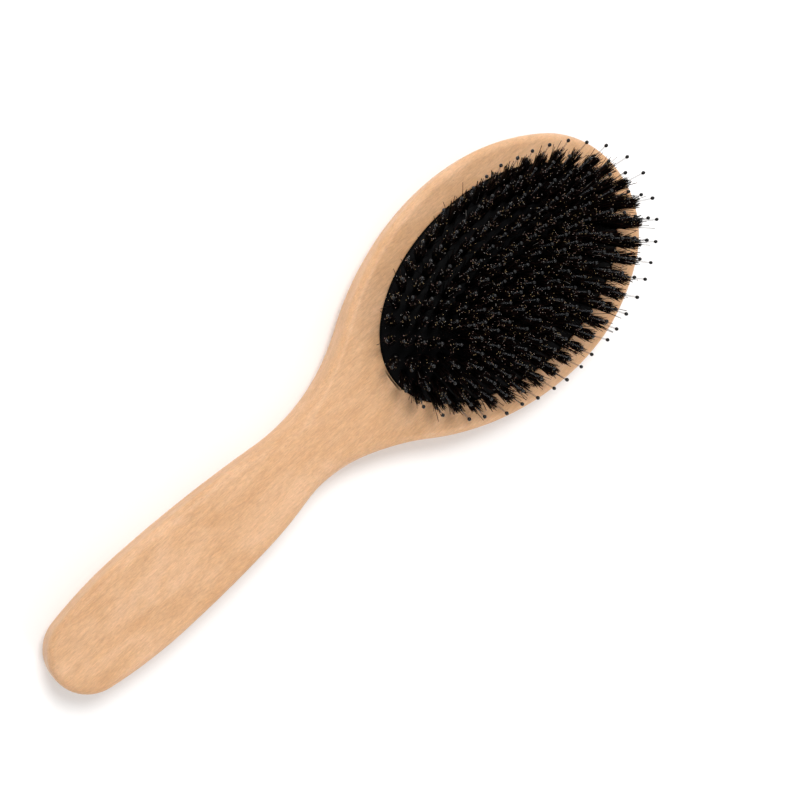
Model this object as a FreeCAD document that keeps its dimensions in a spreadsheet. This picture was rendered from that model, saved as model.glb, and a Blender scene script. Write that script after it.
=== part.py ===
"""Oval cushion hairbrush: a wooden body, an air-cushioned rubber pad, and six rings and a row of tufts.

Millimetres. +X runs along the brush towards the tip of the head, and +Z out of the brushing face.
The origin is on the flat back, under the middle of the brush's length. Every tuft is a bundle of
bristles round one ball-tipped nylon pin, and both stand in a root knob behind the rubber pad.
"""
import FreeCAD, Part
import math
import os
import Sketcher

SHEET = "Dimensions"

DIMENSIONS = (
    # The wooden body's outline: arcs that meet in tangents, through its widest and narrowest places.
    ("overall_length", 246.0),
    ("body_thickness", 18.0),
    ("head_width", 78.8),
    ("head_wide_x", 65.5),
    ("head_tip_radius", 32.0),
    ("shoulder_radius", 97.0),
    ("neck_width", 22.8),
    ("neck_x", -25.5),
    ("handle_width", 29.6),
    ("handle_wide_x", -85.5),
    ("butt_radius", 12.5),
    # Its edges: a small round at the brushing face, and a large one at the back.
    ("crest_radius", 2.5),
    ("back_radius", 8.0),
    # The recess under the pad, with a groove that holds the pad's lip.
    ("pad_centre_x", 62.5),
    ("pad_length", 98.6),
    ("pad_width", 60.2),
    ("pad_clearance", 0.15),
    ("recess_depth", 8.0),
    ("groove_top_depth", 3.4),
    ("groove_height", 2.0),
    ("groove_reach", 2.0),
    # The rubber pad: a domed skin on a short skirt, with a lip round its foot. The dome is steeper
    # at the pad's two ends: an inset there is the smaller one that end_inset_ratio gives.
    ("pad_rim_depth", 0.3),
    ("pad_skirt_height", 5.0),
    ("skin_thickness", 1.8),
    ("lip_height", 1.8),
    ("lip_reach", 1.7),
    ("dome_height", 7.0),
    ("dome_power", 2.2),
    ("dome_crown_inset", 28.6),
    ("end_inset_ratio", 0.85),
    ("inner_dome_start", 1.0),
    ("vent_diameter", 1.6),
    # The rings of tufts: how far each lies inside the pad's edge, and how many tufts it has. A row
    # of tufts stands along the crown inside them.
    ("first_ring_inset", 3.7),
    ("ring_pitch", 4.4),
    ("first_ring_tufts", 42),
    ("fewer_tufts_per_ring", 4),
    ("centre_row_length", 45.0),
    ("centre_row_tufts", 10),
    # One tuft, measured along its own axis from the skin's outer face.
    ("tuft_root_diameter", 2.4),
    ("tuft_tip_diameter", 3.6),
    ("tuft_height", 12.5),
    ("tuft_crown", 0.8),
    ("tuft_hole_clearance", 0.05),
    ("pin_diameter", 0.55),
    ("pin_height", 17.5),
    ("pin_clearance", 0.05),
    ("pin_foot_diameter", 1.6),
    ("pin_foot_height", 0.5),
    ("ball_diameter", 1.2),
    ("ball_length", 1.4),
    ("knob_diameter", 2.6),
    ("knob_height", 1.5),
    ("knob_gap", 0.2),
    ("knob_cover", 0.5),
)

RING_NAMES = ("outer_ring", "second_ring", "third_ring", "fourth_ring", "fifth_ring", "inner_ring")
CENTRE_ROW = "centre_row"


# ---------------------------------------------------------------- dimensions

def make_sheet(doc):
    """The driving dimensions, one aliased cell each."""
    sheet = doc.addObject("Spreadsheet::Sheet", SHEET)
    for row, (alias, value) in enumerate(DIMENSIONS, start=1):
        sheet.set(f"A{row}", alias)
        sheet.set(f"B{row}", str(value))
        sheet.setAlias(f"B{row}", alias)
    doc.recompute()
    return sheet


def dim(alias):
    """A cell of the sheet, as an expression names it."""
    return f"{SHEET}.{alias}"


# ---------------------------------------------------------------- sketches

def origin_plane(body, role):
    return next(feature for feature in body.Origin.OriginFeatures if feature.Role == role)


def new_sketch(body, name, height):
    """A sketch parallel to the body's XY plane, at a height given as an expression."""
    sketch = body.newObject("Sketcher::SketchObject", name)
    sketch.AttachmentSupport = [(origin_plane(body, "XY_Plane"), "")]
    sketch.MapMode = "FlatFace"
    sketch.setExpression("AttachmentOffset.Base.z", height)
    return sketch


def constrain(sketch, name, expression, kind, *where):
    """Adds a dimension to the sketch and binds it to the expression."""
    value = float(sketch.evalExpression(expression))
    index = sketch.addConstraint(Sketcher.Constraint(kind, *where, value))
    sketch.renameConstraint(index, name)
    sketch.setExpression(f"Constraints.{name}", expression)


def add_ellipse(sketch, half_length, half_width, centre_x="0"):
    """An ellipse along X, its centre on the X axis, with its sizes bound to expressions."""
    long_half = float(sketch.evalExpression(half_length))
    short_half = float(sketch.evalExpression(half_width))
    centre = FreeCAD.Vector(float(sketch.evalExpression(centre_x)), 0, 0)
    shape = Part.Ellipse(centre + FreeCAD.Vector(long_half, 0, 0),
                         centre + FreeCAD.Vector(0, short_half, 0), centre)
    ellipse = sketch.addGeometry(shape, False)
    sketch.exposeInternalGeometry(ellipse)
    major_axis = ellipse + 1
    minor_axis = ellipse + 2
    sketch.addConstraint(Sketcher.Constraint("Horizontal", major_axis))
    sketch.addConstraint(Sketcher.Constraint("PointOnObject", ellipse, 3, -1))
    constrain(sketch, "centre_x", centre_x, "DistanceX", -1, 1, ellipse, 3)
    constrain(sketch, "length", f"2 * ({half_length})", "Distance", major_axis)
    constrain(sketch, "width", f"2 * ({half_width})", "Distance", minor_axis)


def inner_radius(station, half_width, other_x, other_radius):
    """Radius of the arc through a wide place that a smaller arc, centred on the axis, closes."""
    run = other_x - station
    return (run ** 2 + half_width ** 2 - other_radius ** 2) / (2 * (half_width - other_radius))


def outer_radius(run, rise, other_radius):
    """Radius of the arc that meets the arc of the next station, which bends the other way."""
    return (run ** 2 + rise ** 2) / (2 * rise) - other_radius


def toward(centre, radius, other_centre):
    """Where the circle touches the one round the other centre."""
    return centre + (other_centre - centre).normalize() * radius


def outline_arcs(sheet):
    """The outline's arcs from the head's tip round to the butt, for the side where Y is positive.

    Each is (centre, radius, start, end). The first and the last arcs cross the X axis, and they
    are given from the axis.
    """
    half_length = sheet.overall_length / 2
    wide = FreeCAD.Vector(sheet.head_wide_x, sheet.head_width / 2, 0)
    neck = FreeCAD.Vector(sheet.neck_x, sheet.neck_width / 2, 0)
    handle = FreeCAD.Vector(sheet.handle_wide_x, sheet.handle_width / 2, 0)
    tip_centre = FreeCAD.Vector(half_length - sheet.head_tip_radius, 0, 0)
    butt_centre = FreeCAD.Vector(sheet.butt_radius - half_length, 0, 0)
    up = FreeCAD.Vector(0, 1, 0)

    brow_radius = inner_radius(wide.x, wide.y, tip_centre.x, sheet.head_tip_radius)
    brow_centre = wide - up * brow_radius
    shoulder_centre = wide - up * sheet.shoulder_radius
    neck_radius = outer_radius(wide.x - neck.x, wide.y - neck.y, sheet.shoulder_radius)
    neck_centre = neck + up * neck_radius
    grip_radius = outer_radius(neck.x - handle.x, handle.y - neck.y, neck_radius)
    grip_centre = handle - up * grip_radius
    heel_radius = inner_radius(handle.x, handle.y, butt_centre.x, sheet.butt_radius)
    heel_centre = handle - up * heel_radius

    tip_to_brow = toward(brow_centre, brow_radius, tip_centre)
    shoulder_to_neck = toward(shoulder_centre, sheet.shoulder_radius, neck_centre)
    neck_to_grip = toward(neck_centre, neck_radius, grip_centre)
    heel_to_butt = toward(heel_centre, heel_radius, butt_centre)
    return {
        "tip": (tip_centre, sheet.head_tip_radius, None, tip_to_brow),
        "brow": (brow_centre, brow_radius, tip_to_brow, wide),
        "shoulder": (shoulder_centre, sheet.shoulder_radius, wide, shoulder_to_neck),
        "nape": (neck_centre, neck_radius, shoulder_to_neck, neck),
        "neck": (neck_centre, neck_radius, neck, neck_to_grip),
        "grip": (grip_centre, grip_radius, neck_to_grip, handle),
        "heel": (heel_centre, heel_radius, handle, heel_to_butt),
        "butt": (butt_centre, sheet.butt_radius, heel_to_butt, None),
    }


def mirrored(point):
    return FreeCAD.Vector(point.x, -point.y, 0)


def add_arc(sketch, centre, radius, start, end):
    """An arc the short way from start to end. Returns its index and its two ends' vertex numbers."""
    first = start - centre
    last = end - centre
    anticlockwise = first.x * last.y - first.y * last.x > 0
    if not anticlockwise:
        first, last = last, first
    first_angle = math.atan2(first.y, first.x)
    last_angle = math.atan2(last.y, last.x)
    if last_angle < first_angle:
        last_angle += 2 * math.pi
    circle = Part.Circle(centre, FreeCAD.Vector(0, 0, 1), radius)
    index = sketch.addGeometry(Part.ArcOfCircle(circle, first_angle, last_angle), False)
    return (index, 1, 2) if anticlockwise else (index, 2, 1)


def draw_outline(sketch, sheet):
    """The body's outline: fourteen tangent arcs, the same on both sides of the X axis."""
    arcs = outline_arcs(sheet)
    side_names = ("brow", "shoulder", "nape", "neck", "grip", "heel")
    tip_centre, tip_radius, _, tip_end = arcs["tip"]
    butt_centre, butt_radius, butt_start, _ = arcs["butt"]
    drawn = {"tip": add_arc(sketch, tip_centre, tip_radius, mirrored(tip_end), tip_end)}
    for name in side_names:
        centre, radius, start, end = arcs[name]
        drawn[name] = add_arc(sketch, centre, radius, start, end)
    drawn["butt"] = add_arc(sketch, butt_centre, butt_radius, butt_start, mirrored(butt_start))
    for name in reversed(side_names):
        centre, radius, start, end = arcs[name]
        drawn["far_" + name] = add_arc(sketch, mirrored(centre), radius, mirrored(end), mirrored(start))

    order = list(drawn.values())
    for (arc, _, leave), (following, enter, _) in zip(order, order[1:] + order[:1]):
        sketch.addConstraint(Sketcher.Constraint("Tangent", arc, leave, following, enter))
    for name in ("tip", "butt"):
        sketch.addConstraint(Sketcher.Constraint("PointOnObject", drawn[name][0], 3, -1))
    half_length = f"{dim('overall_length')} / 2"
    constrain(sketch, "tip_radius", dim("head_tip_radius"), "Radius", drawn["tip"][0])
    constrain(sketch, "tip_centre_x", f"{half_length} - {dim('head_tip_radius')}",
              "DistanceX", -1, 1, drawn["tip"][0], 3)
    constrain(sketch, "butt_radius", dim("butt_radius"), "Radius", drawn["butt"][0])
    constrain(sketch, "butt_centre_x", f"{half_length} - {dim('butt_radius')}",
              "DistanceX", drawn["butt"][0], 3, -1, 1)
    for side in ("", "far_"):
        constrain_side(sketch, drawn, side)


def constrain_side(sketch, drawn, side):
    """Places one side's widest and narrowest points, and centres both arcs of each below them."""
    places = (("shoulder", "brow", "head_wide_x", "head_width"),
              ("neck", "nape", "neck_x", "neck_width"),
              ("heel", "grip", "handle_wide_x", "handle_width"))
    for name, other, place, width in places:
        arc, start, end = drawn[side + name]
        point = end if side else start
        sketch.addConstraint(Sketcher.Constraint("Vertical", arc, point, arc, 3))
        away = float(sketch.evalExpression(dim(place))) > 0
        ends_x = (-1, 1, arc, point) if away else (arc, point, -1, 1)
        ends_y = (arc, point, -1, 1) if side else (-1, 1, arc, point)
        constrain(sketch, f"{side}{place}", f"abs({dim(place)})", "DistanceX", *ends_x)
        constrain(sketch, f"{side}{width}", f"{dim(width)} / 2", "DistanceY", *ends_y)
    shoulder = drawn[side + "shoulder"][0]
    constrain(sketch, side + "shoulder_radius", dim("shoulder_radius"), "Radius", shoulder)
    sketch.addConstraint(Sketcher.Constraint("Equal", drawn[side + "nape"][0], drawn[side + "neck"][0]))


# ---------------------------------------------------------------- features

def padded(body, sketch, name, length):
    pad = body.newObject("PartDesign::Pad", name)
    pad.Profile = sketch
    pad.setExpression("Length", length)
    return pad


def pocketed(body, sketch, name, depth):
    pocket = body.newObject("PartDesign::Pocket", name)
    pocket.Profile = sketch
    pocket.setExpression("Length", depth)
    return pocket


def edges_where(shape, wanted):
    """Names of the shape's edges whose bounding box passes the test."""
    return [f"Edge{index}" for index, edge in enumerate(shape.Edges, start=1) if wanted(edge.BoundBox)]


def lies_at(height):
    """A test for edges that lie flat at a height."""
    return lambda box: abs(box.ZMin - height) < 1e-4 and abs(box.ZMax - height) < 1e-4


def eased(body, base, name, radius, edges):
    fillet = body.newObject("PartDesign::Fillet", name)
    fillet.Base = (base, edges)
    fillet.setExpression("Radius", radius)
    body.Document.recompute()
    return fillet


def lofted(body, kind, name, sketches):
    """A smooth loft through the sketches, added to the body or cut from it."""
    loft = body.newObject(kind, name)
    loft.Profile = sketches[0]
    loft.Sections = sketches[1:]
    loft.Ruled = False
    return loft


# ---------------------------------------------------------------- wooden body

def make_wooden_body(doc, sheet):
    """Head and handle in one piece of wood, with the recess and the groove that hold the pad."""
    body = doc.addObject("PartDesign::Body", "WoodenBody")
    body.Label = "wooden_body"
    outline = new_sketch(body, "BodyOutline", "0")
    draw_outline(outline, sheet)
    board = padded(body, outline, "Board", dim("body_thickness"))
    doc.recompute()
    face_edges = edges_where(board.Shape, lies_at(sheet.body_thickness))
    crest = eased(body, board, "Crest", dim("crest_radius"), face_edges)
    eased(body, crest, "BackRound", dim("back_radius"), edges_where(crest.Shape, lies_at(0)))

    recess_half_length = f"{dim('pad_length')} / 2 + {dim('pad_clearance')}"
    recess_half_width = f"{dim('pad_width')} / 2 + {dim('pad_clearance')}"
    centre = dim("pad_centre_x")
    recess_outline = new_sketch(body, "RecessOutline", dim("body_thickness"))
    add_ellipse(recess_outline, recess_half_length, recess_half_width, centre)
    pocketed(body, recess_outline, "Recess", dim("recess_depth"))
    groove_level = f"{dim('body_thickness')} - {dim('groove_top_depth')}"
    groove_outline = new_sketch(body, "GrooveOutline", groove_level)
    reach = dim("groove_reach")
    add_ellipse(groove_outline, f"{recess_half_length} + {reach}", f"{recess_half_width} + {reach}", centre)
    pocketed(body, groove_outline, "LipGroove", dim("groove_height"))
    return body


# ---------------------------------------------------------------- rubber pad

def dome_rise(inset):
    """Height of the dome over its rim, at a distance inside the pad's edge."""
    half_width = f"({dim('pad_width')} / 2)"
    return f"{dim('dome_height')} * (1 - (1 - ({inset}) / {half_width}) ^ {dim('dome_power')})"


def dome_slope(inset):
    """Slope of the dome there, rising inwards."""
    half_width = f"({dim('pad_width')} / 2)"
    steepest = f"{dim('dome_power')} * {dim('dome_height')} / {half_width}"
    return f"{steepest} * (1 - ({inset}) / {half_width}) ^ ({dim('dome_power')} - 1)"


def rim_level():
    return f"{dim('body_thickness')} - {dim('pad_rim_depth')}"


def section_insets(first):
    """Insets of the sections that shape the dome: its start, each ring of tufts, and its crown."""
    rings = range(len(RING_NAMES))
    return [first] + [ring_inset(ring) for ring in rings] + [dim("dome_crown_inset")]


def ring_inset(ring):
    return f"{dim('first_ring_inset')} + {ring} * {dim('ring_pitch')}"


def dome_level(inset, depth):
    """Level of the dome at an inset, or of the surface at a constant depth behind it."""
    return f"{rim_level()} + {dome_rise(inset)} - {depth} / sqrt(1 + ({dome_slope(inset)}) ^ 2)"


def dome_half(size, inset, depth, ratio):
    """Half the dome's length or width at an inset, or that of the surface at a depth behind it."""
    slope = f"({dome_slope(inset)} / {ratio})"
    return f"{size} / 2 - ({inset}) * {ratio} - {depth} * {slope} / sqrt(1 + {slope} ^ 2)"


def dome_sketch(body, name, inset, depth):
    """The dome's ellipse at an inset, or that of the surface at a depth behind it."""
    sketch = new_sketch(body, name, dome_level(inset, depth))
    half_length = dome_half(dim("pad_length"), inset, depth, dim("end_inset_ratio"))
    add_ellipse(sketch, half_length, dome_half(dim("pad_width"), inset, depth, "1"))
    return sketch


def make_pad_skin(doc):
    """The rubber pad before its holes: skirt, dome, lip, and the air space behind them."""
    body = doc.addObject("PartDesign::Body", "PadSkin")
    half_length = f"{dim('pad_length')} / 2"
    half_width = f"{dim('pad_width')} / 2"
    skin = dim("skin_thickness")
    foot_level = f"{rim_level()} - {dim('pad_skirt_height')}"

    skirt = new_sketch(body, "SkirtOutline", foot_level)
    add_ellipse(skirt, half_length, half_width)
    padded(body, skirt, "Skirt", dim("pad_skirt_height"))
    outer = [dome_sketch(body, f"DomeSection{index}", inset, "0")
             for index, inset in enumerate(section_insets("0"))]
    lofted(body, "PartDesign::AdditiveLoft", "Dome", outer)
    lip = new_sketch(body, "LipOutline", foot_level)
    reach = dim("lip_reach")
    add_ellipse(lip, f"{half_length} + {reach}", f"{half_width} + {reach}")
    padded(body, lip, "Lip", dim("lip_height"))

    inner_start = dim("inner_dome_start")
    inner = [dome_sketch(body, f"HollowSection{index}", inset, skin)
             for index, inset in enumerate(section_insets(inner_start))]
    lofted(body, "PartDesign::SubtractiveLoft", "DomeHollow", inner)
    hollow = new_sketch(body, "HollowOutline", dome_level(inner_start, skin))
    add_ellipse(hollow, f"{half_length} - {skin}", f"{half_width} - {skin}")
    pocketed(body, hollow, "SkirtHollow", dim("pad_skirt_height"))
    body.setExpression("Placement.Base.x", dim("pad_centre_x"))
    return body


# ---------------------------------------------------------------- tufts

def spaced_round(half_length, half_width, count, shifted):
    """Angles of points evenly spaced along an ellipse, from its +X end or half a step past it."""
    steps = 720
    turns = [2 * math.pi * step / steps for step in range(steps + 1)]
    travelled = [0.0]
    for before, after in zip(turns, turns[1:]):
        middle = (before + after) / 2
        speed = math.hypot(half_length * math.sin(middle), half_width * math.cos(middle))
        travelled.append(travelled[-1] + speed * (after - before))
    angles = []
    for index in range(count):
        wanted = travelled[-1] * (index + (0.5 if shifted else 0.0)) / count
        step = next(step for step in range(steps) if travelled[step + 1] >= wanted)
        share = (wanted - travelled[step]) / (travelled[step + 1] - travelled[step])
        angles.append(turns[step] + share * (turns[step + 1] - turns[step]))
    return angles


def skin_level(sheet, inset):
    """Level of the skin's outer face at an inset."""
    left = 1 - inset / (sheet.pad_width / 2)
    rim = sheet.body_thickness - sheet.pad_rim_depth
    return rim + sheet.dome_height * (1 - left ** sheet.dome_power)


def ring_placements(sheet, ring):
    """Where each tuft of a ring stands on the skin, with its Z axis square to the dome."""
    inset = sheet.first_ring_inset + ring * sheet.ring_pitch
    ratio = sheet.end_inset_ratio
    half_length = sheet.pad_length / 2 - inset * ratio
    half_width = sheet.pad_width / 2 - inset
    left = 1 - inset / (sheet.pad_width / 2)
    steepest = sheet.dome_power * sheet.dome_height / (sheet.pad_width / 2)
    side_slope = steepest * left ** (sheet.dome_power - 1)
    level = skin_level(sheet, inset)
    count = int(sheet.first_ring_tufts - ring * sheet.fewer_tufts_per_ring)
    placements = []
    for angle in spaced_round(half_length, half_width, count, ring % 2 == 1):
        x = half_length * math.cos(angle)
        y = half_width * math.sin(angle)
        outward = FreeCAD.Vector(math.cos(angle) / half_length, math.sin(angle) / half_width, 0)
        closing = ratio * math.cos(angle) ** 2 / half_length + math.sin(angle) ** 2 / half_width
        slope = side_slope * outward.Length / closing
        lean = outward.normalize() * slope + FreeCAD.Vector(0, 0, 1)
        turn = FreeCAD.Rotation(FreeCAD.Vector(0, 0, 1), lean)
        base = FreeCAD.Vector(sheet.pad_centre_x + x, y, level)
        placements.append(FreeCAD.Placement(base, turn))
    return placements


def row_placements(sheet):
    """Where each tuft of the row along the crown stands, upright."""
    count = int(sheet.centre_row_tufts)
    level = skin_level(sheet, sheet.dome_crown_inset)
    placements = []
    for index in range(count):
        x = sheet.pad_centre_x + sheet.centre_row_length * (index / (count - 1) - 0.5)
        placements.append(FreeCAD.Placement(FreeCAD.Vector(x, 0, level), FreeCAD.Rotation()))
    return placements


def tuft_groups(sheet):
    """The placements of each ring's tufts and of the centre row's, under its name."""
    groups = {name: ring_placements(sheet, ring) for ring, name in enumerate(RING_NAMES)}
    groups[CENTRE_ROW] = row_placements(sheet)
    return groups


def turned(corners):
    """A solid of revolution about Z, from the corners (radius, height) of its section."""
    points = [FreeCAD.Vector(radius, 0, height) for radius, height in corners]
    section = Part.Face(Part.makePolygon(points + points[:1]))
    return section.revolve(FreeCAD.Vector(0, 0, 0), FreeCAD.Vector(0, 0, 1), 360)


def bristle_tuft(sheet):
    """The bundle of bristles as one flared solid, with a bore for the pin."""
    bore = sheet.pin_diameter / 2 + sheet.pin_clearance
    root = sheet.tuft_root_diameter / 2
    tip = sheet.tuft_tip_diameter / 2
    shoulder = sheet.tuft_height - sheet.tuft_crown
    foot = -sheet.skin_thickness - sheet.knob_gap
    return turned([(bore, foot), (root, foot), (root, sheet.knob_gap), (tip, shoulder),
                   (tip / 2, sheet.tuft_height), (bore, sheet.tuft_height)])


def pin_stem(sheet):
    """The nylon pin: a straight stem on a flat foot."""
    stem = sheet.pin_diameter / 2
    foot = sheet.pin_foot_diameter / 2
    foot_top = -sheet.skin_thickness - sheet.knob_gap - sheet.knob_cover
    foot_bottom = foot_top - sheet.pin_foot_height
    return turned([(0, foot_bottom), (foot, foot_bottom), (foot, foot_top), (stem, foot_top),
                   (stem, sheet.pin_height), (0, sheet.pin_height)])


def ball_tip(sheet):
    """The rounded bead on the end of a pin, with the blind bore that the pin stands in."""
    radius = sheet.ball_diameter / 2
    straight = sheet.ball_length - sheet.ball_diameter
    bottom = sheet.pin_height - straight / 2
    lower = Part.makeSphere(radius, FreeCAD.Vector(0, 0, bottom))
    middle = Part.makeCylinder(radius, straight, FreeCAD.Vector(0, 0, bottom))
    upper = Part.makeSphere(radius, FreeCAD.Vector(0, 0, bottom + straight))
    bead = lower.fuse([middle, upper]).removeSplitter()
    bore_radius = sheet.pin_diameter / 2 + sheet.pin_clearance
    bore_bottom = FreeCAD.Vector(0, 0, bottom - sheet.ball_diameter)
    bore_depth = sheet.pin_height + sheet.pin_clearance - bore_bottom.z
    return bead.cut(Part.makeCylinder(bore_radius, bore_depth, bore_bottom))


def root_knob(sheet):
    """The knob behind the skin that holds the bristles' roots, moulded round the pin's foot."""
    gap = sheet.pin_clearance
    outside = sheet.knob_diameter / 2
    bore = sheet.pin_diameter / 2 + gap
    pocket = sheet.pin_foot_diameter / 2 + gap
    top = -sheet.skin_thickness - sheet.knob_gap
    bottom = top - sheet.knob_height
    pocket_top = top - sheet.knob_cover + gap
    pocket_bottom = top - sheet.knob_cover - sheet.pin_foot_height - gap
    return turned([(0, bottom), (outside, bottom), (outside, top), (bore, top),
                   (bore, pocket_top), (pocket, pocket_top), (pocket, pocket_bottom),
                   (0, pocket_bottom)])


def hole_cutter(sheet):
    """A cylinder along a tuft's axis that cuts its hole through the skin."""
    radius = sheet.tuft_root_diameter / 2 + sheet.tuft_hole_clearance
    reach = 2 * sheet.skin_thickness
    return Part.makeCylinder(radius, 2 * reach, FreeCAD.Vector(0, 0, -reach))


def repeated(solid, placements):
    """Separate copies of a solid, one at each placement, as one compound."""
    copies = []
    for placement in placements:
        copy = solid.copy()
        copy.Placement = placement
        copies.append(copy)
    return Part.makeCompound(copies)


def add_group(doc, label, shape):
    feature = doc.addObject("Part::Feature", label.title().replace("_", ""))
    feature.Label = label
    feature.Shape = shape
    feature.Placement = FreeCAD.Placement()
    return feature


def make_tufts(doc, sheet):
    """Each group's bristles, pins, beads and knobs, in a node of their own each."""
    kinds = (("bristles", bristle_tuft(sheet)), ("pins", pin_stem(sheet)),
             ("ball_tips", ball_tip(sheet)), ("root_knobs", root_knob(sheet)))
    nodes = []
    for name, placements in tuft_groups(sheet).items():
        for kind, solid in kinds:
            nodes.append(add_group(doc, f"{name}_{kind}", repeated(solid, placements)))
    return nodes


def make_rubber_pad(doc, sheet):
    """The pad's skin with a hole for every tuft, and a small vent near the neck."""
    skin = make_pad_skin(doc)
    everywhere = [place for placements in tuft_groups(sheet).values() for place in placements]
    vent_inset = (sheet.first_ring_inset + sheet.ring_pitch) * sheet.end_inset_ratio
    vent_x = sheet.pad_centre_x - sheet.pad_length / 2 + vent_inset
    vent_foot = FreeCAD.Vector(vent_x, 0, sheet.body_thickness - sheet.pad_skirt_height)
    vent = Part.makeCylinder(sheet.vent_diameter / 2, 2 * sheet.pad_skirt_height, vent_foot)
    cutters = Part.makeCompound([repeated(hole_cutter(sheet), everywhere), vent])
    holes = doc.addObject("Part::Feature", "PadHoles")
    holes.Shape = cutters
    pad = doc.addObject("Part::Cut", "RubberPad")
    pad.Label = "rubber_pad"
    pad.Base = skin
    pad.Tool = holes
    return pad


# ---------------------------------------------------------------- writing

def check(doc, nodes):
    """Stops on any failed object, and on any node without a valid shape."""
    for item in doc.Objects:
        if "Invalid" in item.State or "Error" in item.State:
            raise RuntimeError(f"{item.Name} failed: {item.State}")
    for node in nodes:
        if node.Shape.isNull() or not node.Shape.isValid():
            raise RuntimeError(f"{node.Label} has no valid shape")


def main():
    doc = FreeCAD.newDocument("Hairbrush")
    sheet = make_sheet(doc)
    nodes = [make_wooden_body(doc, sheet), make_rubber_pad(doc, sheet)] + make_tufts(doc, sheet)
    doc.recompute()
    check(doc, nodes)
    os.makedirs("parts", exist_ok=True)
    for node in nodes:
        node.Shape.exportStep(f"parts/{node.Label}.step")
        solids = len(node.Shape.Solids)
        print(f"{node.Label}: {solids} solids, {node.Shape.Volume:.1f} mm3")


main()
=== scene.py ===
"""Looks of the oval cushion hairbrush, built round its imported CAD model.

Metres, in the row frame: +X runs from the handle to the tip of the head, and +Z out of the
brushing face. Lengths named in millimetres are turned into metres with MM.
"""
import math

import bmesh
import bpy
import numpy as np
from mathutils import Matrix, Vector
from mathutils.geometry import delaunay_2d_cdt


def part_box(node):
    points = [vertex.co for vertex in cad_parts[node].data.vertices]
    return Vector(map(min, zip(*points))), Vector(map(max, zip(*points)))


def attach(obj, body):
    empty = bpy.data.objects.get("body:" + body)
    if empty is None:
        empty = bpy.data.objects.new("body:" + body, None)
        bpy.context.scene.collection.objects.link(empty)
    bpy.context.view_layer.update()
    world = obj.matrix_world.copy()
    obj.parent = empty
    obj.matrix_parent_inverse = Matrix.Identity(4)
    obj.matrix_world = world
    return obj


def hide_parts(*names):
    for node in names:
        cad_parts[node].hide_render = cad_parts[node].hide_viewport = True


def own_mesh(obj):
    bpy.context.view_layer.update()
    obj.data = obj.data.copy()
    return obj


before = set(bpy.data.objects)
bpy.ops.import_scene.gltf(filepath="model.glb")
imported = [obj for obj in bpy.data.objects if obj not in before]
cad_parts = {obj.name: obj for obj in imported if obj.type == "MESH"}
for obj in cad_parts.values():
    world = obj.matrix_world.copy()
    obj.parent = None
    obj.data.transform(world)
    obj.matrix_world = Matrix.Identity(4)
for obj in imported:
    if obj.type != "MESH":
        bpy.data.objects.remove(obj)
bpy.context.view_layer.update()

MM = 0.001
CENTRE_ROW = "centre_row"
TUFT_GROUPS = ("outer_ring", "second_ring", "third_ring", "fourth_ring", "fifth_ring", "inner_ring",
               CENTRE_ROW)
BRUSH_BODY = "brush_body"
rng = np.random.default_rng(20)

# The wooden body: its box comes from the frame, and these are its outline's other driving sizes.
# The edge is sanded back toward the face round the tip and at the neck, and tapers toward the back.
WOOD_LOW, WOOD_HIGH = (np.array(corner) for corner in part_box("wooden_body"))
THICKNESS = WOOD_HIGH[2]
HEAD_WIDE_X = 65.5 * MM
HEAD_TIP_RADIUS = 32.0 * MM
SHOULDER_RADIUS = 97.0 * MM
NECK_X = -25.5 * MM
NECK_HALF_WIDTH = 11.4 * MM
HANDLE_WIDE_X = -85.5 * MM
HANDLE_HALF_WIDTH = 14.8 * MM
BUTT_RADIUS = 12.5 * MM
CREST_RADIUS = 2.5 * MM
BACK_RADIUS = 8.0 * MM
OUTLINE_SPACING = 1.4 * MM
BEVEL_FOOT = 10.0 * MM
TIP_BEVEL_START = 80.0 * MM
TIP_BEVEL_REACH = 3.2 * MM
NECK_BEVEL_X = -21.0 * MM
NECK_BEVEL_SPAN = 15.0 * MM
NECK_BEVEL_REACH = 2.6 * MM
TAPER_TOP = 14.0 * MM
TAPER_REACH = 2.2 * MM
NARROW_TAPER_SHARE = 0.3

# The rubber pad and its recess.
PAD_LOW, PAD_HIGH = (np.array(corner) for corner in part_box("rubber_pad"))
LIP_REACH = 1.7 * MM
LIP_HEIGHT = 1.8 * MM
PAD_CENTRE_X = (PAD_LOW[0] + PAD_HIGH[0]) / 2
PAD_HALF_LENGTH = (PAD_HIGH[0] - PAD_LOW[0]) / 2 - LIP_REACH
PAD_HALF_WIDTH = (PAD_HIGH[1] - PAD_LOW[1]) / 2 - LIP_REACH
RIM_LEVEL = THICKNESS - 0.3 * MM
DOME_HEIGHT = 7.0 * MM
DOME_POWER = 2.2
END_INSET_RATIO = 0.85
SKIN = 1.8 * MM
PAD_CLEARANCE = 0.15 * MM
RECESS_DEPTH = 8.0 * MM
GROOVE_TOP_DEPTH = 3.4 * MM
GROOVE_HEIGHT = 2.0 * MM
GROOVE_REACH = 2.0 * MM
RIM_EASE = 0.3 * MM
PAD_EDGE_ROUND = 0.35 * MM
PAD_POINTS = 320
DOME_LOOPS = 44
RECESS_POINTS = 300

# Tufts, measured from the skin's outer face along their own axes. A pin's foot lies between two depths.
KNOB_TOP_DEPTH = 2.0 * MM
PIN_HEIGHT = 17.5 * MM
PIN_RADIUS = 0.275 * MM
PIN_FOOT_RADIUS = 0.8 * MM
PIN_FOOT_DEPTHS = (3.0 * MM, 2.5 * MM)
BEAD_RADIUS = 0.6 * MM
BEAD_HALF_LENGTH = 0.7 * MM
TUFT_ROOT_RADIUS = 1.15 * MM
BRISTLES_PER_TUFT = 100
BRISTLE_LENGTH = 12.0 * MM
BRISTLE_RADIUS = 0.108 * MM
STRAY_SHARE = 0.02
STRAY_LENGTHS = (12.6 * MM, 15.6 * MM)
SPLAYED_SHARE = 0.07

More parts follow.
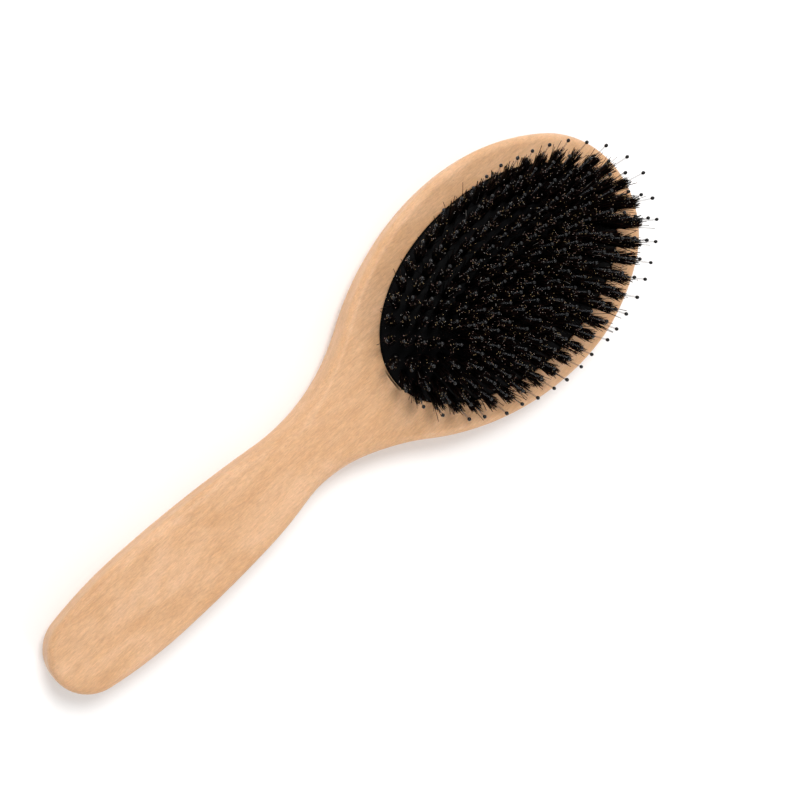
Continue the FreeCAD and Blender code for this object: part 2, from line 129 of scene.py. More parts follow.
# The tones of a bristle, by number in the list of its materials: black and dark brown, then the
# golden, rosy and beige of the cut tips.
BROWN, BEIGE = 1, 4
SHAFT_TONES = {0: 0.85, BROWN: 0.148, BEIGE: 0.002}
TIP_TONES = {0: 0.66, BROWN: 0.17, 2: 0.06, 3: 0.05, BEIGE: 0.06}
BROWN_UPPER_SHARE = 0.4

# The camera: its turns about the brush's Z, Y and X axes, where the pad's centre lies in its view,
# and its sensor and lens in millimetres.
CAMERA_ANGLES = (42.324, 16.73, 15.719)
PAD_IN_VIEW = (33.017 * MM, 38.162 * MM, -500.0 * MM)
SENSOR_WIDTH = 36.0
FOCAL_LENGTH = 69.84
# The lights: where each stands from the pad along the camera's right, up and backward axes in
# metres, its width in metres, and its power in watts.
LIGHTS = (("key", (0.2, 0.3, 0.93), 0.34, 5.0),
          ("overhead", (-0.1, 0.85, 0.5), 0.4, 3.0),
          ("rim", (0.55, -0.75, 0.35), 0.35, 2.4))
SKY_STRENGTH = 0.62
FLOOR_REACH = 3.0


# ---------------------------------------------------------------- meshes

def add_mesh(name, vertices, faces, smooth=True):
    """A mesh object from lists or arrays of vertices and faces."""
    mesh = bpy.data.meshes.new(name)
    mesh.from_pydata(np.asarray(vertices).tolist(), [], [tuple(face) for face in faces])
    mesh.polygons.foreach_set("use_smooth", [smooth] * len(mesh.polygons))
    mesh.update()
    piece = bpy.data.objects.new(name, mesh)
    bpy.context.scene.collection.objects.link(piece)
    return piece


def loop_faces(loops, count, first=0):
    """Quads between neighbouring closed loops of count points each, in the order of the vertices."""
    start = np.arange(loops - 1)[:, None] * count + first
    here = np.arange(count)[None, :]
    after = (here + 1) % count
    corners = [start + here, start + after, start + count + after, start + count + here]
    return np.stack(corners, axis=2).reshape(-1, 4)


def rounded_corners(corners, steps):
    """A section line through corners (x, z, radius), with each corner rounded by an arc."""
    points = [np.array(corners[0][:2])]
    for before, corner, after in zip(corners, corners[1:], corners[2:]):
        place = np.array(corner[:2])
        back = np.array(before[:2]) - place
        ahead = np.array(after[:2]) - place
        back /= np.linalg.norm(back)
        ahead /= np.linalg.norm(ahead)
        half = math.acos(float(np.dot(back, ahead))) / 2
        reach = corner[2] / math.tan(half)
        bisector = (back + ahead) / np.linalg.norm(back + ahead)
        centre = place + bisector * corner[2] / math.sin(half)
        start = place + back * reach - centre
        end = place + ahead * reach - centre
        sweep = math.atan2(start[0] * end[1] - start[1] * end[0], float(np.dot(start, end)))
        for step in range(steps + 1):
            turn = sweep * step / steps
            spun = (start[0] * math.cos(turn) - start[1] * math.sin(turn),
                    start[0] * math.sin(turn) + start[1] * math.cos(turn))
            points.append(centre + np.array(spun))
    points.append(np.array(corners[-1][:2]))
    return np.array(points)


# ---------------------------------------------------------------- the wooden body

def inner_radius(station, half_width, other_x, other_radius):
    """Radius of the arc through a wide place that a smaller arc, centred on the axis, closes."""
    run = other_x - station
    return (run ** 2 + half_width ** 2 - other_radius ** 2) / (2 * (half_width - other_radius))


def outer_radius(run, rise, other_radius):
    """Radius of the arc that meets the arc of the next station, which bends the other way."""
    return (run ** 2 + rise ** 2) / (2 * rise) - other_radius


def side_arcs():
    """The outline's arcs on the +Y side from the tip to the butt: (centre, radius, start, end, bulge)."""
    wide = np.array([HEAD_WIDE_X, WOOD_HIGH[1]])
    neck = np.array([NECK_X, NECK_HALF_WIDTH])
    handle = np.array([HANDLE_WIDE_X, HANDLE_HALF_WIDTH])
    up = np.array([0.0, 1.0])
    tip_centre = np.array([WOOD_HIGH[0] - HEAD_TIP_RADIUS, 0.0])
    butt_centre = np.array([WOOD_LOW[0] + BUTT_RADIUS, 0.0])
    brow_radius = inner_radius(wide[0], wide[1], tip_centre[0], HEAD_TIP_RADIUS)
    neck_radius = outer_radius(wide[0] - neck[0], wide[1] - neck[1], SHOULDER_RADIUS)
    grip_radius = outer_radius(neck[0] - handle[0], handle[1] - neck[1], neck_radius)
    heel_radius = inner_radius(handle[0], handle[1], butt_centre[0], BUTT_RADIUS)
    circles = [(tip_centre, HEAD_TIP_RADIUS, 1), (wide - up * brow_radius, brow_radius, 1),
               (wide - up * SHOULDER_RADIUS, SHOULDER_RADIUS, 1), (neck + up * neck_radius, neck_radius, -1),
               (handle - up * grip_radius, grip_radius, 1), (handle - up * heel_radius, heel_radius, 1),
               (butt_centre, BUTT_RADIUS, 1)]

    def meeting(one, other):
        """Where two neighbouring circles touch."""
        away = other[0] - one[0] if one[1] > other[1] or one[2] != other[2] else one[0] - other[0]
        return one[0] + away / np.linalg.norm(away) * one[1]

    joins = [np.array([WOOD_HIGH[0], 0.0])]
    for index, (one, other) in enumerate(zip(circles, circles[1:])):
        at_wide = index == 1
        at_handle = index == 4
        joins.append(wide if at_wide else handle if at_handle else meeting(one, other))
    joins.append(np.array([WOOD_LOW[0], 0.0]))
    return [(*circle, start, end) for circle, start, end in zip(circles, joins, joins[1:])]


def outline(spacing):
    """Points round the body, anticlockwise from the tip, and the outward normal at each."""
    points, normals = [], []
    for centre, radius, bulge, start, end in side_arcs():
        first = math.atan2(*(start - centre)[::-1])
        last = math.atan2(*(end - centre)[::-1])
        sweep = (last - first + math.pi) % (2 * math.pi) - math.pi
        steps = max(2, round(abs(sweep) * radius / spacing))
        for step in range(steps):
            angle = first + sweep * step / steps
            ray = np.array([math.cos(angle), math.sin(angle)])
            points.append(centre + ray * radius)
            normals.append(ray * bulge)
    points.append(np.array([WOOD_LOW[0], 0.0]))
    normals.append(np.array([-1.0, 0.0]))
    flip = np.array([1.0, -1.0])
    points += [point * flip for point in points[-2:0:-1]]
    normals += [normal * flip for normal in normals[-2:0:-1]]
    return np.array(points), np.array(normals)


def ellipse_loop(half_length, half_width, count):
    """Points round an ellipse about the pad's centre."""
    turn = np.arange(count) * 2 * math.pi / count
    return np.stack([PAD_CENTRE_X + half_length * np.cos(turn), half_width * np.sin(turn)], axis=1)


def flat_fill(vertices, loops, hole=None):
    """Triangles over the flat region inside closed loops of vertex numbers, less an elliptic hole."""
    numbers = [number for loop in loops for number in loop]
    spots = [Vector(vertices[number][:2]) for number in numbers]
    edges, start = [], 0
    for loop in loops:
        edges += [(start + step, start + (step + 1) % len(loop)) for step in range(len(loop))]
        start += len(loop)
    corners, _, faces, sources, _, _ = delaunay_2d_cdt(spots, edges, [], 1, 1e-7)
    kept = []
    for face in faces:
        middle = sum((corners[corner] for corner in face), Vector((0, 0))) / 3
        if hole is None or math.hypot((middle[0] - PAD_CENTRE_X) / hole[0], middle[1] / hole[1]) > 1:
            kept.append([numbers[sources[corner][0]] for corner in face])
    return kept


def sanded_off(points, level):
    """How far the edge draws in at a level: toward the face at the tip and neck, and toward the back."""
    tip = np.clip((points[:, 0] - TIP_BEVEL_START) / (WOOD_HIGH[0] - TIP_BEVEL_START), 0, 1) ** 1.5
    neck = np.exp(-((points[:, 0] - NECK_BEVEL_X) / NECK_BEVEL_SPAN) ** 2)
    high = np.clip((level - BEVEL_FOOT) / (THICKNESS - BEVEL_FOOT), 0, 1) ** 1.3
    wide = np.clip((np.abs(points[:, 1]) - NECK_HALF_WIDTH) / (2 * NECK_HALF_WIDTH), NARROW_TAPER_SHARE, 1)
    low = np.clip(1 - level / TAPER_TOP, 0, 1)
    return (TIP_BEVEL_REACH * tip + NECK_BEVEL_REACH * neck) * high + TAPER_REACH * wide * low ** 1.5


def make_wood():
    """Head and handle: a softly rounded edge, a flat face with the recess, and a flat back."""
    support = 0.25 * MM
    points, normals = outline(OUTLINE_SPACING)
    count = len(points)
    corner_steps = 10
    section = rounded_corners([(CREST_RADIUS + 4 * support, THICKNESS, 0), (0, THICKNESS, CREST_RADIUS),
                               (0, 0, BACK_RADIUS), (BACK_RADIUS + 4 * support, 0, 0)], corner_steps)
    crest_end = corner_steps + 2
    side = np.linspace(section[crest_end - 1], section[crest_end], 8)[1:-1]
    section = np.insert(section, crest_end, side, axis=0)
    outside = [np.column_stack([points - normals * (inset + sanded_off(points, level))[:, None],
                                np.full(count, level)]) for inset, level in section]

    recess = np.array([PAD_HALF_LENGTH, PAD_HALF_WIDTH]) + PAD_CLEARANCE
    floor = THICKNESS - RECESS_DEPTH
    groove_top = THICKNESS - GROOVE_TOP_DEPTH
    groove_foot = groove_top - GROOVE_HEIGHT
    wall = rounded_corners([(RIM_EASE + 2 * support, THICKNESS, 0), (0, THICKNESS, RIM_EASE),
                            (0, groove_top, 0.05 * MM), (GROOVE_REACH, groove_top, 0.05 * MM),
                            (GROOVE_REACH, groove_foot, 0.05 * MM), (0, groove_foot, 0.05 * MM),
                            (0, floor, 0.4 * MM), (-2 * support, floor, 0)], 3)
    rim_count = RECESS_POINTS
    inside = [np.column_stack([ellipse_loop(recess[0] + reach, recess[1] + reach, rim_count),
                               np.full(rim_count, level)]) for reach, level in wall]

    outer_vertices = np.concatenate(outside)
    inner_vertices = np.concatenate(inside)
    vertices = np.concatenate([outer_vertices, inner_vertices])
    rim_start = len(outer_vertices)
    face_loop = range(count)
    back_loop = range(rim_start - count, rim_start)
    rim_loop = range(rim_start, rim_start + rim_count)
    floor_loop = range(len(vertices) - rim_count, len(vertices))
    faces = loop_faces(len(outside), count).tolist()
    faces += loop_faces(len(inside), rim_count, rim_start).tolist()
    faces += flat_fill(vertices, [face_loop, rim_loop], recess + RIM_EASE)
    faces += flat_fill(vertices, [back_loop])
    faces += flat_fill(vertices, [floor_loop])
    piece = add_mesh("wood_head_and_handle", vertices, faces)
    mesh = bmesh.new()
    mesh.from_mesh(piece.data)
    bmesh.ops.recalc_face_normals(mesh, faces=mesh.faces)
    mesh.to_mesh(piece.data)
    mesh.free()
    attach(piece, BRUSH_BODY)
    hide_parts("wooden_body")
    piece.data.materials.append(wood_material())
    return piece


# ---------------------------------------------------------------- the rubber pad

def dome_rise(inset):
    """Height of the dome over its rim, at an inset from the pad's edge."""
    return DOME_HEIGHT * (1 - (1 - inset / PAD_HALF_WIDTH) ** DOME_POWER)


def dome_loop(inset, level, shrink, count):
    """The dome's ellipse at an inset, drawn in by a further distance all round."""
    half_length = PAD_HALF_LENGTH - inset * END_INSET_RATIO - shrink
    loop = ellipse_loop(half_length, PAD_HALF_WIDTH - inset - shrink, count)
    return np.column_stack([loop, np.full(count, level)])


def closed_shell(name, loops, count):
    """A mesh through closed loops that ends where it started."""
    vertices = np.concatenate(loops)
    faces = loop_faces(len(loops) + 1, count) % len(vertices)
    return add_mesh(name, vertices, faces)


def make_dome():
    """The part of the pad above its rim, in its unpressed shape; the real pad flattens when pressed."""
    count = PAD_POINTS
    crown = PAD_HALF_WIDTH - 0.25 * MM
    insets = crown * np.linspace(0, 1, DOME_LOOPS) ** 1.15    # closer together toward the edge
    top = []
    for inset in insets:
        pulled = PAD_EDGE_ROUND * (1 - min(1.0, inset / (2.2 * MM))) ** 3
        top.append(dome_loop(inset, RIM_LEVEL + max(dome_rise(inset), 0), pulled, count))
    under = [dome_loop(inset, RIM_LEVEL + max(dome_rise(inset) - SKIN, 0), 0, count)
             for inset in insets if inset > SKIN]
    vertices = np.concatenate(top[::-1] + under)
    faces = [face[::-1] for face in loop_faces(len(top) + len(under), count)]
    faces.append(tuple(range(count)))
    faces.append(tuple(range(len(vertices) - 1, len(vertices) - count - 1, -1)))
    piece = add_mesh("cushion_dome", vertices, faces)
    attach(piece, BRUSH_BODY)
    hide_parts("rubber_pad")
    piece.data.materials.append(rubber_material())
    return piece


def make_skirt():
    """The part of the pad below its rim: the skirt in the recess and the lip in its groove."""
    count = PAD_POINTS
    foot = PAD_LOW[2]
    lip_top = foot + LIP_HEIGHT
    section = [(-SKIN, RIM_LEVEL), (-PAD_EDGE_ROUND, RIM_LEVEL), (-0.1 * MM, RIM_LEVEL - 0.15 * MM),
               (0, RIM_LEVEL - 0.5 * MM), (0, lip_top), (LIP_REACH - 0.2 * MM, lip_top),
               (LIP_REACH, lip_top - 0.2 * MM), (LIP_REACH, foot + 0.2 * MM), (LIP_REACH - 0.2 * MM, foot),
               (-SKIN, foot)]
    loops = [np.column_stack([ellipse_loop(PAD_HALF_LENGTH + reach, PAD_HALF_WIDTH + reach, count),
                              np.full(count, level)]) for reach, level in section]
    piece = closed_shell("cushion_skirt_and_lip", loops, count)
    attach(piece, BRUSH_BODY)
    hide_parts("rubber_pad")
    piece.data.materials.append(rubber_material())
    return piece


# ---------------------------------------------------------------- tufts

def islands(node):
    """The vertices of each separate solid of a CAD node."""
    mesh = bmesh.new()
    mesh.from_mesh(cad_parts[node].data)
    bmesh.ops.remove_doubles(mesh, verts=mesh.verts, dist=1e-6)
    unseen = set(mesh.verts)
    found = []
    while unseen:
        reached = [unseen.pop()]
        for vertex in reached:
            near = {edge.other_vert(vertex) for edge in vertex.link_edges} & unseen
            unseen -= near
            reached += near
        found.append(np.array([vertex.co for vertex in reached]))
    mesh.free()
    return found


def in_order(solids, group):
    """The solids' mean points, in order round the pad, or along it for the centre row."""
    middles = [solid.mean(axis=0) for solid in solids]

    def place(index):
        x, y, _ = middles[index]
        turn = math.atan2(y / PAD_HALF_WIDTH, (x - PAD_CENTRE_X) / PAD_HALF_LENGTH)
        return x if group == CENTRE_ROW else (turn + 0.01) % (2 * math.pi)

    order = sorted(range(len(solids)), key=place)
    return [solids[index] for index in order], [middles[index] for index in order]


def tuft_places(group):
    """Where each tuft of a group comes out of the skin, and its axis: from its knob and its bead."""
    knobs, knob_middles = in_order(islands(f"{group}_root_knobs"), group)
    _, bead_middles = in_order(islands(f"{group}_ball_tips"), group)
    places = []
    for knob, knob_middle, bead_middle in zip(knobs, knob_middles, bead_middles):
        axis = bead_middle - knob_middle
        axis /= np.linalg.norm(axis)
        knob_top = np.max((knob - knob_middle) @ axis)
        places.append((knob_middle + axis * (knob_top + KNOB_TOP_DEPTH), axis))
    return places


def across(axis):
    """Two unit vectors square to each axis and to each other. Axes are rows."""
    axis = np.atleast_2d(axis)
    helper = np.where(np.abs(axis[:, :1]) < 0.7, [[1.0, 0.0, 0.0]], [[0.0, 1.0, 0.0]])
    first = np.cross(axis, helper)
    first /= np.linalg.norm(first, axis=1)[:, None]
    return first, np.cross(axis, first)


def tubes(paths, radii, sides):
    """Thin closed tubes along paths (tube, point, xyz), with a radius at each point.

    Returns vertices, faces, and for each face the tube and the stretch of it that it covers.
    """
    count, rings = radii.shape
    along = paths[:, -1] - paths[:, 0]
    along /= np.linalg.norm(along, axis=1)[:, None]
    first, second = across(along)
    turn = np.arange(sides) * 2 * math.pi / sides
    rays = (first[:, None, None] * np.cos(turn)[None, None, :, None]
            + second[:, None, None] * np.sin(turn)[None, None, :, None])
    vertices = paths[:, :, None] + rays * radii[:, :, None, None]
    quads = loop_faces(rings, sides)
    starts = (np.arange(count) * rings * sides)[:, None, None]
    walls = (quads[None] + starts).reshape(-1, 4)
    tops = np.arange(sides)[None] + (rings - 1) * sides + starts[:, 0]
    feet = np.arange(sides)[None, ::-1] + starts[:, 0]
    faces = walls.tolist() + tops.tolist() + feet.tolist()
    stretch = np.concatenate([np.tile(np.repeat(np.arange(rings - 1), sides), count),
                              np.full(count, rings - 1), np.full(count, 0)])
    tube = np.concatenate([np.repeat(np.arange(count), len(quads)), np.arange(count), np.arange(count)])
    return vertices.reshape(-1, 3), faces, tube, stretch


def tuft_strands(place, axis, count):
    """Paths and radii of one bundle's bristles: they rise from the skin, spread, and end unevenly.

    Stray bristles are longer and splayed ones lean out further. Stations are shares of the length.
    """
    stations = np.array([-0.09, 0.4, 0.8, 0.995, 1.0])
    first, second = (vector[0] for vector in across(axis))
    lean = rng.normal(0, 0.022, 2)
    angle = rng.uniform(0, 2 * math.pi, count)
    spot = np.sqrt(rng.uniform(0.13, 1, count))
    root = spot * TUFT_ROOT_RADIUS
    uneven = rng.normal(0, 0.6, count) - rng.exponential(0.6, count) - spot ** 2
    length = BRISTLE_LENGTH + uneven * MM
    spread = root * rng.normal(0.55, 0.2, count) + rng.normal(0, 0.2, count) * MM
    stray = rng.random(count) < STRAY_SHARE
    splayed = rng.random(count) < SPLAYED_SHARE
    length = np.where(stray, rng.uniform(*STRAY_LENGTHS, count), length)
    spread = np.where(stray, spread * 2.4, np.where(splayed, spread * 3.2, spread))
    swirl = rng.normal(0, 0.13, count)
    bend = rng.normal(0, 0.33, (count, 2)) * MM

    share = np.clip(stations, 0, None)[None] * np.ones((count, 1))
    reach = root[:, None] + spread[:, None] * share ** 1.35
    heading = angle[:, None] + swirl[:, None] * share
    side_a = reach * np.cos(heading) + bend[:, :1] * share ** 2 + lean[0] * length[:, None] * share
    side_b = reach * np.sin(heading) + bend[:, 1:] * share ** 2 + lean[1] * length[:, None] * share
    rise = length[:, None] * stations[None]
    paths = place + rise[..., None] * axis + side_a[..., None] * first + side_b[..., None] * second
    thickness = (BRISTLE_RADIUS + rng.normal(0, 0.013, count) * MM).clip(0.07 * MM, 0.14 * MM)
    radii = thickness[:, None] * np.array([1.0, 1.0, 0.97, 0.95, 1.2])[None]
    return paths, radii


def make_bristles(group, places, materials):
    """A group's bundles of bristles, with cut tips of several tones."""
    strands = [tuft_strands(place, axis, BRISTLES_PER_TUFT) for place, axis in places]
    paths = np.concatenate([pair[0] for pair in strands])
    radii = np.concatenate([pair[1] for pair in strands])
    vertices, faces, tube, stretch = tubes(paths, radii, 3)
    piece = add_mesh(f"{group}_bristle_strands", vertices, faces)
    shaft = rng.choice(list(SHAFT_TONES), len(paths), p=list(SHAFT_TONES.values()))
    upper = np.where(rng.random(len(paths)) < BROWN_UPPER_SHARE, np.maximum(shaft, BROWN), shaft)
    tip = rng.choice(list(TIP_TONES), len(paths), p=list(TIP_TONES.values()))
    chosen = np.where(stretch >= 3, tip[tube], np.where(stretch == 2, upper[tube], shaft[tube]))
    for material in materials:
        piece.data.materials.append(material)
    piece.data.polygons.foreach_set("material_index", chosen.astype(np.int32))
    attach(piece, group)
    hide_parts(f"{group}_bristles")
    return piece


def pin_paths(places):
    """Each pin's path from its foot to its end: nearly straight, with a slight lean and bow."""
    stations = np.array([-PIN_FOOT_DEPTHS[0], 0, 0.35 * PIN_HEIGHT, 0.7 * PIN_HEIGHT, PIN_HEIGHT])
    share = np.clip(stations / PIN_HEIGHT, 0, 1)
    paths = []
    for place, axis in places:
        first, second = (vector[0] for vector in across(axis))
        lean = rng.normal(0, 0.3, 2) * MM
        bow = rng.normal(0, 0.28, 2) * MM
        offset = lean[None] * share[:, None] + bow[None] * (share * share)[:, None]
        paths.append(place + stations[:, None] * axis + offset[:, :1] * first + offset[:, 1:] * second)
    return np.array(paths)


def make_pins(group, paths, material):
    """A group's clear nylon pins, each on its flat foot."""
    radii = np.full(paths.shape[:2], PIN_RADIUS)
    vertices, faces, _, _ = tubes(paths, radii, 10)
    along = paths[:, 1] - paths[:, 0]
    along /= np.linalg.norm(along, axis=1)[:, None]
    foot_height = PIN_FOOT_DEPTHS[0] - PIN_FOOT_DEPTHS[1]
    foot_ends = np.stack([paths[:, 0], paths[:, 0] + along * foot_height], axis=1)
    feet, foot_faces, _, _ = tubes(foot_ends, np.full(foot_ends.shape[:2], PIN_FOOT_RADIUS), 16)
    faces = faces + [[index + len(vertices) for index in face] for face in foot_faces]
    piece = add_mesh(f"{group}_nylon_pins", np.concatenate([vertices, feet]), faces)
    piece.data.materials.append(material)
    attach(piece, group)
    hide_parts(f"{group}_pins")
    return piece


def make_beads(group, paths, material):
    """A group's beads: drop-shaped, a little narrower where the pin goes in."""
    levels = np.linspace(-1, 1, 13)
    widths = np.sqrt(np.clip(1 - levels ** 2, 0, 1)) * (1 - 0.13 * np.clip(-levels, 0, 1))
    levels = levels[1:-1] * BEAD_HALF_LENGTH
    widths = widths[1:-1] * BEAD_RADIUS
    along = paths[:, -1] - paths[:, -2]
    along /= np.linalg.norm(along, axis=1)[:, None]
    size = rng.normal(1.0, 0.04, len(paths)).clip(0.9, 1.08)
    bead_paths = paths[:, -1][:, None] + along[:, None] * levels[None, :, None] * size[:, None, None]
    vertices, faces, _, _ = tubes(bead_paths, widths[None] * size[:, None], 16)
    piece = add_mesh(f"{group}_beads", vertices, faces)
    piece.data.materials.append(material)
    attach(piece, group)
    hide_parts(f"{group}_ball_tips")
    return piece


# ---------------------------------------------------------------- materials

def new_material(name, colour, roughness, specular=0.5):
    """A material with a Principled shader, and its node tree and shader."""
    material = bpy.data.materials.new(name)
    material.use_nodes = True
    tree = material.node_tree
    shader = tree.nodes["Principled BSDF"]
    shader.inputs["Base Color"].default_value = (*colour, 1)
    shader.inputs["Roughness"].default_value = roughness
    shader.inputs["Specular IOR Level"].default_value = specular
    return material, tree, shader


def node(tree, kind, inputs=None, **settings):
    """A shader node with its settings, and values or links for its inputs."""
    made = tree.nodes.new(kind)
    for key, value in settings.items():
        setattr(made, key, value)
    for key, value in (inputs or {}).items():
        if isinstance(value, bpy.types.NodeSocket):
            tree.links.new(value, made.inputs[key])
        else:
            made.inputs[key].default_value = value
    return made


def millimetres(tree, stretch=(1, 1, 1)):
    """Object coordinates in millimetres, each times its stretch."""
    place = node(tree, "ShaderNodeTexCoord").outputs["Object"]
    scale = tuple(axis / MM for axis in stretch)
    return node(tree, "ShaderNodeMapping", {"Vector": place, "Scale": scale}).outputs["Vector"]


def noise(tree, vector, scale, detail=3.0, roughness=0.5, distortion=0.0):
    """A noise pattern's value, from 0 to 1."""
    return node(tree, "ShaderNodeTexNoise", {"Vector": vector, "Scale": scale, "Detail": detail,
                                             "Roughness": roughness, "Distortion": distortion}).outputs["Fac"]


def ramp(tree, factor, stops):
    """A colour ramp with stops (position, colour)."""
    made = node(tree, "ShaderNodeValToRGB", {"Fac": factor})
    elements = made.color_ramp.elements
    while len(elements) < len(stops):
        elements.new(0.5)
    for element, (position, colour) in zip(elements, stops):
        element.position = position
        element.color = (*colour, 1)
    return made.outputs["Color"]


def span(tree, value, low, high, to_low, to_high):
    """The value mapped from one range to another, and held inside it."""
    return node(tree, "ShaderNodeMapRange", {"Value": value, "From Min": low, "From Max": high,
                                             "To Min": to_low, "To Max": to_high}).outputs["Result"]


def mixed(tree, factor, one, other, blend="MIX"):
    """A mix of two colours."""
    made = node(tree, "ShaderNodeMix", data_type="RGBA", blend_type=blend)
    for socket, value in zip((made.inputs["Factor"], made.inputs[6], made.inputs[7]), (factor, one, other)):
        if isinstance(value, bpy.types.NodeSocket):
            tree.links.new(value, socket)
        else:
            socket.default_value = value if isinstance(value, float) else (*value, 1)
    return made.outputs[2]


def bumped(tree, shader, height, strength, distance):
    """Relief from a height, on the shader's normal."""
    made = node(tree, "ShaderNodeBump", {"Height": height, "Strength": strength, "Distance": distance})
    tree.links.new(made.outputs["Normal"], shader.inputs["Normal"])


def wood_material():
    """Pale fine-grained wood under a satin lacquer: soft bands, fibres, flecks, and a mottle that is partly
    the wood's own tone and partly painted sheen.
    """
    material, tree, shader = new_material("pale_wood", (0.62, 0.37, 0.2), 0.55, 0.25)
    # Mottle: partly the wood's own tone changing at random, partly painted sheen in its lighter pinkish
    # patches.
    mottle_and_painted_sheen = noise(tree, millimetres(tree, (0.045, 0.11, 0.15)), 1.0, 3.0, 0.55, 0.6)
    streaks = noise(tree, millimetres(tree, (0.04, 0.8, 0.8)), 1.0, 3.0, 0.55, 0.3)
    dashes = noise(tree, millimetres(tree, (0.34, 1.7, 1.7)), 1.0, 3.0, 0.6, 0.3)
    fibres = noise(tree, millimetres(tree, (0.6, 3.2, 3.2)), 1.0, 3.0, 0.7)
    pores = noise(tree, millimetres(tree, (0.9, 3.4, 3.4)), 1.0, 1.0, 0.5)
    base = ramp(tree, mottle_and_painted_sheen, [(0.32, (0.585, 0.328, 0.165)), (0.5, (0.625, 0.366, 0.197)),
                                (0.68, (0.665, 0.405, 0.235))])
    tones = [span(tree, streaks, 0.3, 0.7, 0.955, 1.04), span(tree, dashes, 0.3, 0.7, 0.93, 1.06),
             span(tree, fibres, 0.3, 0.7, 0.85, 1.12)]
    tone = tones[0]
    for other in tones[1:]:
        tone = node(tree, "ShaderNodeMath", {0: tone, 1: other}, operation="MULTIPLY").outputs[0]
    grey = node(tree, "ShaderNodeCombineColor", {"Red": tone, "Green": tone, "Blue": tone}).outputs["Color"]
    toned = mixed(tree, 1.0, base, grey, "MULTIPLY")
    fleck = span(tree, pores, 0.7, 0.78, 0.0, 0.45)
    colour = mixed(tree, fleck, toned, (0.36, 0.18, 0.09))
    tree.links.new(colour, shader.inputs["Base Color"])
    tree.links.new(span(tree, dashes, 0.3, 0.7, 0.62, 0.5), shader.inputs["Roughness"])
    shader.inputs["Subsurface Weight"].default_value = 0.12
    shader.inputs["Subsurface Radius"].default_value = (1.0, 0.35, 0.12)
    shader.inputs["Subsurface Scale"].default_value = 1.5 * MM
    shader.inputs["Coat Weight"].default_value = 0.2
    shader.inputs["Coat Roughness"].default_value = 0.42
    height = node(tree, "ShaderNodeMath", {0: dashes, 1: fibres}, operation="ADD").outputs[0]
    bumped(tree, shader, height, 0.12, 0.08 * MM)
    return material


def rubber_material():
    """Matt black moulded rubber with a fine grit and a little bloom."""
    if "moulded_rubber" in bpy.data.materials:
        return bpy.data.materials["moulded_rubber"]
    material, tree, shader = new_material("moulded_rubber", (0.003, 0.003, 0.0033), 0.5, 0.03)
    bloom = noise(tree, millimetres(tree), 0.18, 3.0, 0.6)
    grit = noise(tree, millimetres(tree), 6.0, 2.0, 0.6)
    colour = ramp(tree, bloom, [(0.35, (0.0024, 0.0024, 0.0026)), (0.7, (0.0040, 0.0040, 0.0044))])
    tree.links.new(colour, shader.inputs["Base Color"])
    tree.links.new(span(tree, grit, 0.3, 0.7, 0.42, 0.58), shader.inputs["Roughness"])
    bumped(tree, shader, grit, 0.35, 0.05 * MM)
    return material


def strand_material(name, colour, roughness, specular):
    """Hair-like material: one tone, with gloss that changes along and between the strands."""
    material, tree, shader = new_material(name, colour, roughness, specular)
    gloss = noise(tree, millimetres(tree), 1.3, 2.0, 0.5)
    tree.links.new(span(tree, gloss, 0.3, 0.7, roughness - 0.08, roughness + 0.1), shader.inputs["Roughness"])
    return material


def bristle_materials():
    """Black and dark brown shafts, then golden, rosy and beige cut tips."""
    return [strand_material("bristle_black", (0.0034, 0.003, 0.003), 0.5, 0.04),
            strand_material("bristle_dark_brown", (0.02, 0.008, 0.006), 0.5, 0.06),
            strand_material("bristle_tip_golden", (0.62, 0.44, 0.22), 0.45, 0.2),
            strand_material("bristle_tip_rosy", (0.54, 0.34, 0.28), 0.45, 0.2),
            strand_material("bristle_tip_beige", (0.5, 0.46, 0.42), 0.45, 0.2)]


def nylon_material():
    """Clear, slightly milky nylon filament."""
    material, tree, shader = new_material("clear_nylon", (0.09, 0.093, 0.1), 0.25, 0.5)
    shader.inputs["Alpha"].default_value = 0.22
    streak = noise(tree, millimetres(tree), 1.8, 2.0, 0.5)
    tree.links.new(span(tree, streak, 0.3, 0.7, 0.18, 0.34), shader.inputs["Roughness"])
    bumped(tree, shader, streak, 0.08, 0.05 * MM)
    return material


def bead_material():
    """Glossy black bead, with a faint unevenness from dipping."""
    material, tree, shader = new_material("glossy_black_bead", (0.004, 0.004, 0.0045), 0.28, 0.3)
    wave = noise(tree, millimetres(tree), 1.1, 1.0, 0.4)
    tree.links.new(span(tree, wave, 0.3, 0.7, 0.14, 0.28), shader.inputs["Roughness"])
    bumped(tree, shader, wave, 0.05, 0.1 * MM)
    return material


def knob_material():
    """Plain moulded black plastic, matt."""
    material, tree, shader = new_material("moulded_knob", (0.02, 0.02, 0.02), 0.55)
    grain = noise(tree, millimetres(tree), 5.0, 3.0, 0.6)
    tree.links.new(ramp(tree, grain, [(0.3, (0.014, 0.014, 0.014)), (0.7, (0.03, 0.03, 0.03))]),
                   shader.inputs["Base Color"])
    tree.links.new(span(tree, grain, 0.3, 0.7, 0.45, 0.65), shader.inputs["Roughness"])
    bumped(tree, shader, grain, 0.3, 0.05 * MM)
    return material


# ---------------------------------------------------------------- stage

def make_camera():
    """A camera over the face, tilted so that one side of the wood shows and the handle comes nearer."""
    turns = [Matrix.Rotation(math.radians(angle), 3, axis) for angle, axis in zip(CAMERA_ANGLES, "ZYX")]
    to_camera = turns[0] @ turns[1] @ turns[2]
    data = bpy.data.cameras.new("camera")
    data.sensor_width = SENSOR_WIDTH
    data.lens = FOCAL_LENGTH
    data.clip_start = 10 * MM
    camera = bpy.data.objects.new("camera", data)
    bpy.context.scene.collection.objects.link(camera)
    pad_centre = Vector((PAD_CENTRE_X, 0, THICKNESS))
    facing = to_camera.transposed()
    camera.matrix_world = Matrix.Translation(pad_centre - facing @ Vector(PAD_IN_VIEW)) @ facing.to_4x4()
    bpy.context.scene.camera = camera
    return camera


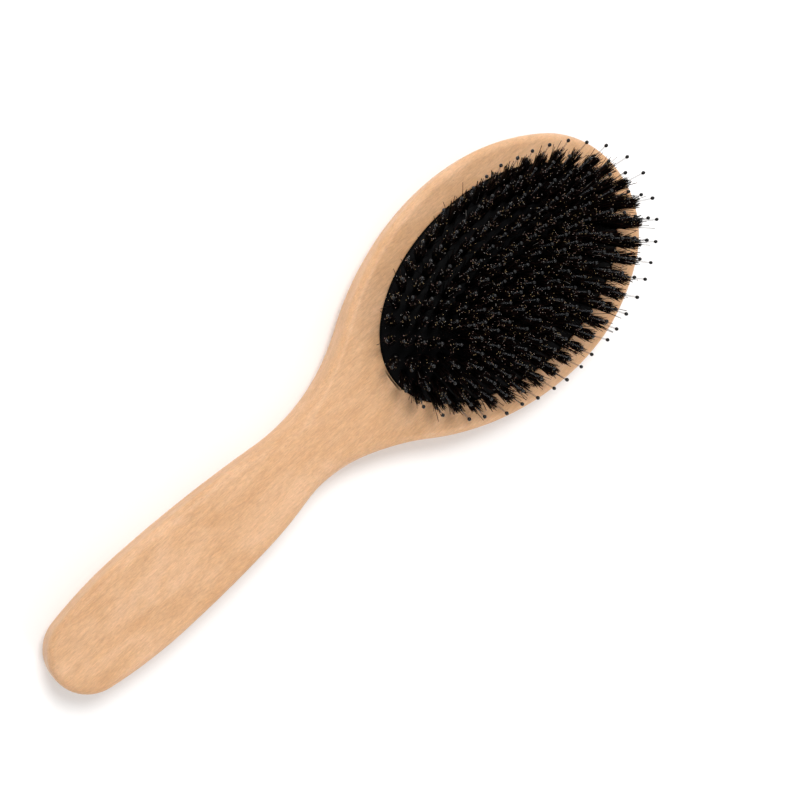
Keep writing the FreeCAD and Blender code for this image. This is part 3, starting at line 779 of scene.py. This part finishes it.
def make_light(name, view, place, aim, size, power):
    """An area light at a place given along the camera's right, up and backward axes."""
    data = bpy.data.lights.new(name, "AREA")
    data.shape = "DISK"
    data.size = size
    data.energy = power
    light = bpy.data.objects.new(name, data)
    bpy.context.scene.collection.objects.link(light)
    spot = aim + view @ Vector(place)
    light.matrix_world = Matrix.Translation(spot) @ (spot - aim).to_track_quat("Z", "Y").to_matrix().to_4x4()
    return light


def make_stage(camera):
    """A pale floor under the brush, a bright even sky, and three large soft lights."""
    corners = [(side * FLOOR_REACH, end * FLOOR_REACH, 0)
               for side, end in ((-1, -1), (1, -1), (1, 1), (-1, 1))]
    floor = add_mesh("floor", corners, [(0, 1, 2, 3)])
    material, tree, shader = new_material("pale_floor", (0.94, 0.94, 0.94), 0.8)
    tone = noise(tree, millimetres(tree), 0.01, 2.0, 0.5)
    shade = ramp(tree, tone, [(0.3, (0.94, 0.94, 0.94)), (0.7, (0.95, 0.95, 0.95))])
    tree.links.new(shade, shader.inputs["Base Color"])
    floor.data.materials.append(material)
    world = bpy.data.worlds.new("studio")
    world.use_nodes = True
    world.node_tree.nodes["Background"].inputs["Color"].default_value = (1, 1, 1, 1)
    world.node_tree.nodes["Background"].inputs["Strength"].default_value = SKY_STRENGTH
    bpy.context.scene.world = world
    bpy.context.scene.view_settings.view_transform = "Standard"
    view = camera.matrix_world.to_3x3()
    aim = Vector((PAD_CENTRE_X, 0, THICKNESS))
    for name, place, size, power in LIGHTS:
        make_light(name, view, place, aim, size, power)


# ---------------------------------------------------------------- the brush

stage_camera = make_camera()
make_stage(stage_camera)
make_wood()
dome = make_dome()
make_skirt()
strand_materials = bristle_materials()
nylon = nylon_material()
bead = bead_material()
knob = knob_material()
for group_name in TUFT_GROUPS:
    group_places = tuft_places(group_name)
    make_bristles(group_name, group_places, strand_materials)
    group_pins = pin_paths(group_places)
    make_pins(group_name, group_pins, nylon)
    make_beads(group_name, group_pins, bead)
    knob_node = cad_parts[f"{group_name}_root_knobs"]
    knob_node.data.materials.clear()
    knob_node.data.materials.append(knob)

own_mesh(dome)
